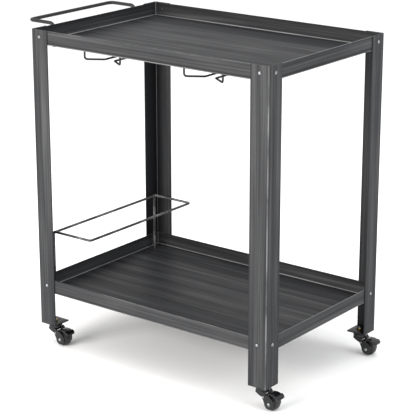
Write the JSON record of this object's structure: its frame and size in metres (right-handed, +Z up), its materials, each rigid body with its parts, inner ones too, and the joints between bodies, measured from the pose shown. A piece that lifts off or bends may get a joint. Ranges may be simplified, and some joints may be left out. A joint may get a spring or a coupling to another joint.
{
  "type": "bar cart",
  "caption": "Two-tier rolling bar cart: angle legs bolted to folded trays, push handle, bottle rail, stemware racks and braked swivel casters.",
  "frame": {"origin": "on the floor under the wheels, midway between the four legs", "axes": "+X to the right along the cart's long side, the push handle being at -X; +Y from front to back; +Z up"},
  "size_m": [0.8168, 0.476, 0.8155],
  "materials": {
    "gunmetal_angle": "charcoal lacquer over brushed steel, streaks along the leg, edges rubbed bright",
    "gunmetal_sheet": "charcoal lacquer over brushed steel, streaks along the tray, fold lines rubbed bright",
    "black_rod": "satin black on round bar",
    "worn_wire": "grey lacquer rubbed back to steel",
    "bright_zinc": "bright zinc plate",
    "bearing_steel": "polished steel balls",
    "yellow_zinc": "yellow zinc plate",
    "black_steel": "black lacquered steel",
    "black_moulding": "gloss black moulding",
    "wheel_black": "smooth black wheel"
  },
  "bodies": {
    "cart_frame": {"bottle_rail": "worn_wire", "caster_plate_back_left": "black_steel", "caster_plate_back_right": "black_steel", "caster_plate_front_left": "black_steel", "caster_plate_front_right": "black_steel", "caster_stem_back_left": "bright_zinc", "caster_stem_back_right": "bright_zinc", "caster_stem_front_left": "bright_zinc", "caster_stem_front_right": "bright_zinc", "caster_stem_nuts": "yellow_zinc", "leg_back_left": "gunmetal_angle", "leg_back_right": "gunmetal_angle", "leg_front_left": "gunmetal_angle", "leg_front_right": "gunmetal_angle", "lower_tray": "gunmetal_sheet", "lower_tray_bolts": "bright_zinc", "push_handle": "black_rod", "rail_screws": "bright_zinc", "stemware_rack_left": "black_rod", "stemware_rack_right": "black_rod", "swivel_race_back_left": "black_steel", "swivel_race_back_right": "black_steel", "swivel_race_front_left": "black_steel", "swivel_race_front_right": "black_steel", "upper_tray": "gunmetal_sheet", "upper_tray_bolts": "bright_zinc"},
    "swivel_front_left": {"caster_fork_front_left": "black_moulding", "swivel_balls_front_left": "bearing_steel", "axle_bolt_front_left": "bright_zinc", "axle_nut_front_left": "bright_zinc", "pedal_pin_front_left": "bright_zinc"},
    "wheel_front_left": {"wheel_front_left": "wheel_black"},
    "brake_front_left": {"brake_pedal_front_left": "black_moulding"},
    "swivel_front_right": {"caster_fork_front_right": "black_moulding", "swivel_balls_front_right": "bearing_steel", "axle_bolt_front_right": "bright_zinc", "axle_nut_front_right": "bright_zinc", "pedal_pin_front_right": "bright_zinc"},
    "wheel_front_right": {"wheel_front_right": "wheel_black"},
    "brake_front_right": {"brake_pedal_front_right": "black_moulding"},
    "swivel_back_right": {"caster_fork_back_right": "black_moulding", "swivel_balls_back_right": "bearing_steel", "axle_bolt_back_right": "bright_zinc", "axle_nut_back_right": "bright_zinc", "pedal_pin_back_right": "bright_zinc"},
    "wheel_back_right": {"wheel_back_right": "wheel_black"},
    "brake_back_right": {"brake_pedal_back_right": "black_moulding"},
    "swivel_back_left": {"caster_fork_back_left": "black_moulding", "swivel_balls_back_left": "bearing_steel", "axle_bolt_back_left": "bright_zinc", "axle_nut_back_left": "bright_zinc", "pedal_pin_back_left": "bright_zinc"},
    "wheel_back_left": {"wheel_back_left": "wheel_black"},
    "brake_back_left": {"brake_pedal_back_left": "black_moulding"}
  },
  "joints": [
    {"name": "swivel_front_left_turn", "type": "hinge", "parent": "cart_frame", "child": "swivel_front_left", "pos_m": [-0.324, -0.209, 0.0525], "axis": [0, 0, 1], "continuous": true},
    {"name": "wheel_front_left_spin", "type": "hinge", "parent": "swivel_front_left", "child": "wheel_front_left", "pos_m": [-0.2955, -0.209, 0.0175], "axis": [0, 1, 0], "continuous": true},
    {"name": "brake_front_left_press", "type": "hinge", "parent": "swivel_front_left", "child": "brake_front_left", "pos_m": [-0.311, -0.209, 0.0325], "axis": [0, 1, 0], "range_deg": [0, 7]},
    {"name": "swivel_front_right_turn", "type": "hinge", "parent": "cart_frame", "child": "swivel_front_right", "pos_m": [0.324, -0.209, 0.0525], "axis": [0, 0, 1], "continuous": true},
    {"name": "wheel_front_right_spin", "type": "hinge", "parent": "swivel_front_right", "child": "wheel_front_right", "pos_m": [0.3525, -0.209, 0.0175], "axis": [0, 1, 0], "continuous": true},
    {"name": "brake_front_right_press", "type": "hinge", "parent": "swivel_front_right", "child": "brake_front_right", "pos_m": [0.337, -0.209, 0.0325], "axis": [0, 1, 0], "range_deg": [0, 7]},
    {"name": "swivel_back_right_turn", "type": "hinge", "parent": "cart_frame", "child": "swivel_back_right", "pos_m": [0.324, 0.209, 0.0525], "axis": [0, 0, 1], "continuous": true},
    {"name": "wheel_back_right_spin", "type": "hinge", "parent": "swivel_back_right", "child": "wheel_back_right", "pos_m": [0.3525, 0.209, 0.0175], "axis": [0, 1, 0], "continuous": true},
    {"name": "brake_back_right_press", "type": "hinge", "parent": "swivel_back_right", "child": "brake_back_right", "pos_m": [0.337, 0.209, 0.0325], "axis": [0, 1, 0], "range_deg": [0, 7]},
    {"name": "swivel_back_left_turn", "type": "hinge", "parent": "cart_frame", "child": "swivel_back_left", "pos_m": [-0.324, 0.209, 0.0525], "axis": [0, 0, 1], "continuous": true},
    {"name": "wheel_back_left_spin", "type": "hinge", "parent": "swivel_back_left", "child": "wheel_back_left", "pos_m": [-0.2955, 0.209, 0.0175], "axis": [0, 1, 0], "continuous": true},
    {"name": "brake_back_left_press", "type": "hinge", "parent": "swivel_back_left", "child": "brake_back_left", "pos_m": [-0.311, 0.209, 0.0325], "axis": [0, 1, 0], "range_deg": [0, 7]}
  ]
}
